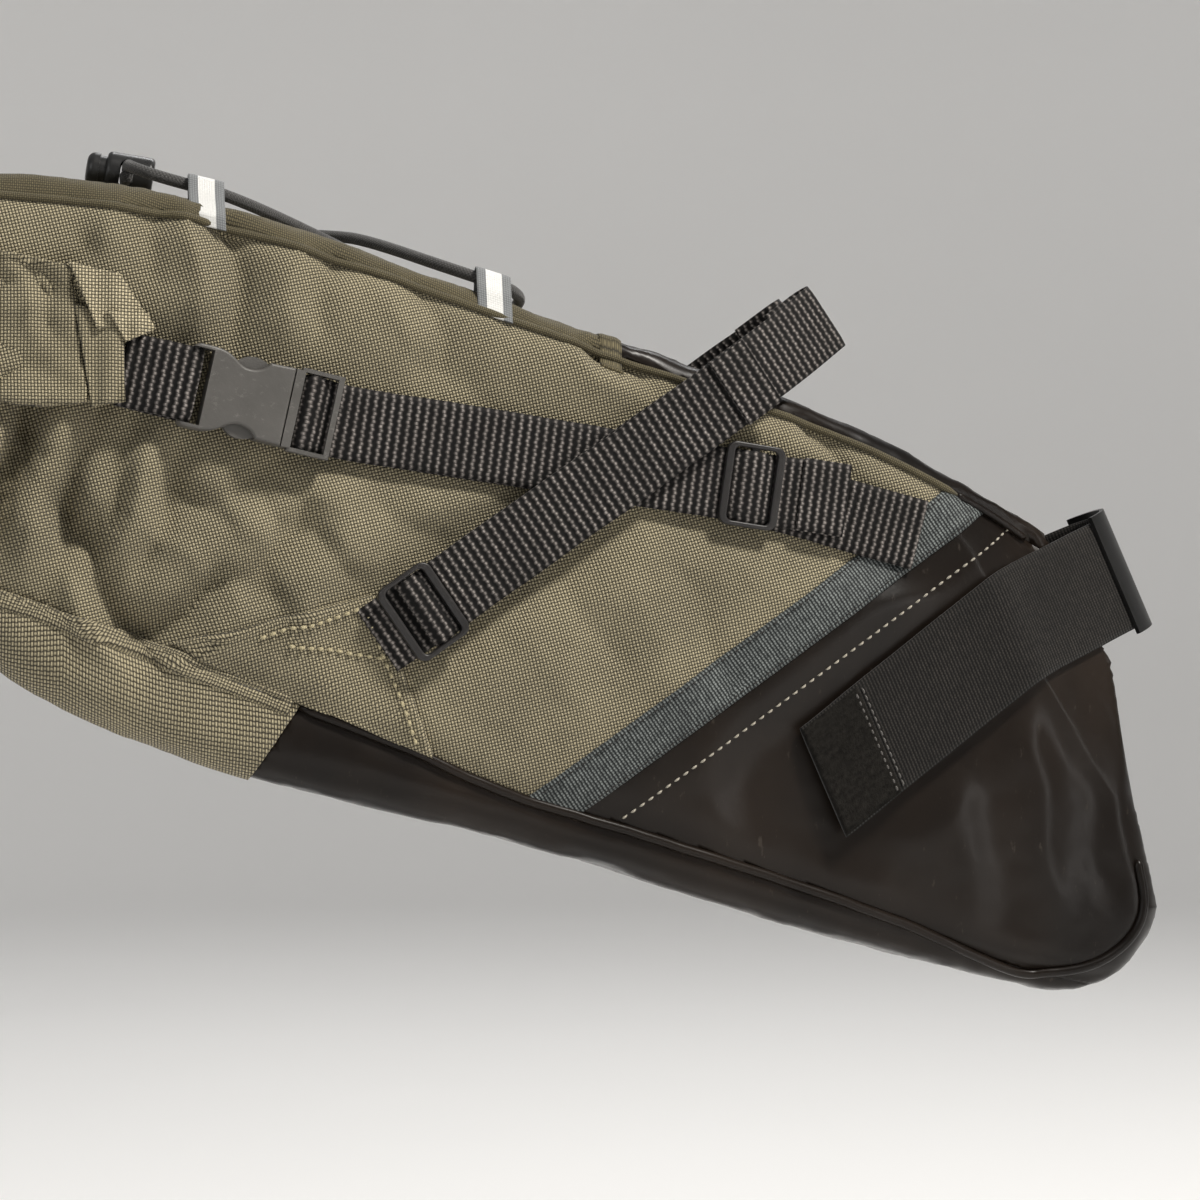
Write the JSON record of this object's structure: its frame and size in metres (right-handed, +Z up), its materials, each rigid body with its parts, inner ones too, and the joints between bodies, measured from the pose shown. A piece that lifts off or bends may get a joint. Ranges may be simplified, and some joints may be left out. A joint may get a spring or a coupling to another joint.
{
  "type": "saddle bag",
  "caption": "Roll-top bicycle seat pack: stuffed olive fabric body, glossy black nose, side-release compression straps, rail straps and a hook-and-loop seatpost strap.",
  "frame": {"origin": "on the seatpost's axis, at the middle of the clamp strap that holds the bag's nose to the seatpost", "axes": "+X towards the front of the bicycle, along the bag from tail to nose; +Y to the rider's left, across the bag; +Z up"},
  "size_m": [0.4442, 0.1786, 0.2866],
  "materials": {
    "olive_cordura": "coarse plain-weave nylon, matt",
    "olive_smooth": "fine-weave nylon, matt",
    "black_vinyl": "coated tarpaulin fabric, glossy",
    "webbing": "ribbed nylon webbing",
    "grosgrain": "grosgrain tape with fine cross ribs",
    "buckle_plastic": "moulded acetal, fine texture",
    "strap_elastic": "brushed hook-and-loop strap",
    "hook_tape": "hook and loop pile",
    "rubber_pad": "smooth grip rubber",
    "reflective_tape": "herringbone tape with a reflective stripe",
    "shock_cord": "braided cover over rubber",
    "toggle_plastic": "moulded plastic, satin",
    "spring_steel": "drawn wire",
    "stiffener": "sheet polyethylene",
    "foam": "closed-cell foam"
  },
  "bodies": {
    "bag": {"top_panel": "olive_smooth", "top_front_panel": "black_vinyl", "bottom_panel": "black_vinyl", "nose_front_panel": "black_vinyl", "tail_panel": "olive_cordura", "side_panel_right": "olive_cordura", "side_panel_left": "olive_cordura", "nose_side_panel_right": "black_vinyl", "nose_side_panel_left": "black_vinyl", "grosgrain_binding_right": "grosgrain", "grosgrain_binding_left": "grosgrain", "seam_piping_right": "black_vinyl", "seam_piping_left": "black_vinyl", "anchor_gusset_right": "olive_cordura", "anchor_gusset_left": "olive_cordura", "tail_bottom_patch": "olive_cordura", "top_seam_binding": "olive_smooth", "hook_landing_patch": "hook_tape", "base_stiffener": "stiffener", "nose_pad": "foam", "roll_closure": "olive_cordura", "mouth_stiffeners": "stiffener", "roll_wing_right": "olive_cordura", "roll_wing_left": "olive_cordura", "buckle_female_right": "buckle_plastic", "buckle_female_left": "buckle_plastic", "tail_webbing_right": "webbing", "tail_webbing_left": "webbing", "compression_strap_right": "webbing", "compression_strap_left": "webbing", "rail_strap_right": "webbing", "rail_strap_left": "webbing", "lock_tab_right": "webbing", "lock_tab_left": "webbing", "seatpost_strap": "strap_elastic", "grip_pad": "rubber_pad", "cord_tabs_right": "reflective_tape", "cord_tabs_left": "reflective_tape", "shock_cord": "shock_cord"},
    "buckle_male_right": {"buckle_male_right": "buckle_plastic"},
    "prong_upper_right": {"prong_upper_right": "buckle_plastic"},
    "prong_lower_right": {"prong_lower_right": "buckle_plastic"},
    "ladder_lock_right": {"ladder_lock_right": "buckle_plastic"},
    "strap_slider_right": {"strap_slider_right": "buckle_plastic"},
    "buckle_male_left": {"buckle_male_left": "buckle_plastic"},
    "prong_upper_left": {"prong_upper_left": "buckle_plastic"},
    "prong_lower_left": {"prong_lower_left": "buckle_plastic"},
    "ladder_lock_left": {"ladder_lock_left": "buckle_plastic"},
    "strap_slider_left": {"strap_slider_left": "buckle_plastic"},
    "strap_flap": {"strap_flap": "strap_elastic"},
    "cord_lock": {"cord_lock_body": "toggle_plastic", "cord_lock_spring": "spring_steel"},
    "cord_lock_plunger": {"cord_lock_plunger": "toggle_plastic"}
  },
  "joints": [
    {"name": "buckle_release_right", "type": "slide", "parent": "bag", "child": "buckle_male_right", "axis": [0.9666, 0.1376, -0.2164], "range_m": [0, 0.032], "deforming": ["compression_strap_right", "prong_upper_right", "prong_lower_right"]},
    {"name": "prong_upper_squeeze_right", "type": "hinge", "parent": "buckle_male_right", "child": "prong_upper_right", "pos_m": [-0.28, -0.07449, 0.06529], "axis": [0.1409, -0.99, 0], "range_deg": [0, 9], "stiffness_Nm_per_rad": 0.3},
    {"name": "prong_lower_squeeze_right", "type": "hinge", "parent": "buckle_male_right", "child": "prong_lower_right", "pos_m": [-0.28308, -0.07493, 0.05123], "axis": [0.1409, -0.99, 0], "range_deg": [-9, 0], "stiffness_Nm_per_rad": 0.3},
    {"name": "ladder_lock_tilt_right", "type": "hinge", "parent": "bag", "child": "ladder_lock_right", "pos_m": [-0.24305, -0.07333, -0.01307], "axis": [0.5636, 0.0802, -0.8221], "range_deg": [0, 30], "deforming": ["rail_strap_right", "lock_tab_right"]},
    {"name": "strap_slider_slide_right", "type": "slide", "parent": "bag", "child": "strap_slider_right", "axis": [0.9794, 0.1394, -0.1461], "range_m": [0, 0.01], "deforming": ["compression_strap_right"]},
    {"name": "buckle_release_left", "type": "slide", "parent": "bag", "child": "buckle_male_left", "axis": [0.9666, -0.1376, -0.2164], "range_m": [0, 0.032], "deforming": ["compression_strap_left", "prong_upper_left", "prong_lower_left"]},
    {"name": "prong_upper_squeeze_left", "type": "hinge", "parent": "buckle_male_left", "child": "prong_upper_left", "pos_m": [-0.28, 0.07449, 0.06529], "axis": [-0.1409, -0.99, 0], "range_deg": [0, 9], "stiffness_Nm_per_rad": 0.3},
    {"name": "prong_lower_squeeze_left", "type": "hinge", "parent": "buckle_male_left", "child": "prong_lower_left", "pos_m": [-0.28308, 0.07493, 0.05123], "axis": [-0.1409, -0.99, 0], "range_deg": [-9, 0], "stiffness_Nm_per_rad": 0.3},
    {"name": "ladder_lock_tilt_left", "type": "hinge", "parent": "bag", "child": "ladder_lock_left", "pos_m": [-0.24305, 0.07333, -0.01307], "axis": [-0.5636, 0.0802, 0.8221], "range_deg": [0, 30], "deforming": ["rail_strap_left", "lock_tab_left"]},
    {"name": "strap_slider_slide_left", "type": "slide", "parent": "bag", "child": "strap_slider_left", "axis": [0.9794, -0.1394, -0.1461], "range_m": [0, 0.01], "deforming": ["compression_strap_left"]},
    {"name": "strap_flap_peel", "type": "hinge", "parent": "bag", "child": "strap_flap", "pos_m": [-0.0266, -0.03699, -0.0106], "axis": [-0.3948, -0.0562, 0.9171], "range_deg": [0, 110]},
    {"name": "cord_lock_slide", "type": "slide", "parent": "bag", "child": "cord_lock", "axis": [0, 1, 0], "range_m": [-0.008, 0.008]},
    {"name": "cord_lock_press", "type": "slide", "parent": "cord_lock", "child": "cord_lock_plunger", "axis": [0.9877, 0, -0.1564], "range_m": [0, 0.002], "stiffness_N_per_m": 1500, "springref_m": -0.001, "deforming": ["cord_lock_spring"]}
  ],
  "couplings": [
    {"joint": "prong_lower_squeeze_right", "follows": "prong_upper_squeeze_right", "ratio": -1},
    {"joint": "prong_lower_squeeze_left", "follows": "prong_upper_squeeze_left", "ratio": -1}
  ]
}
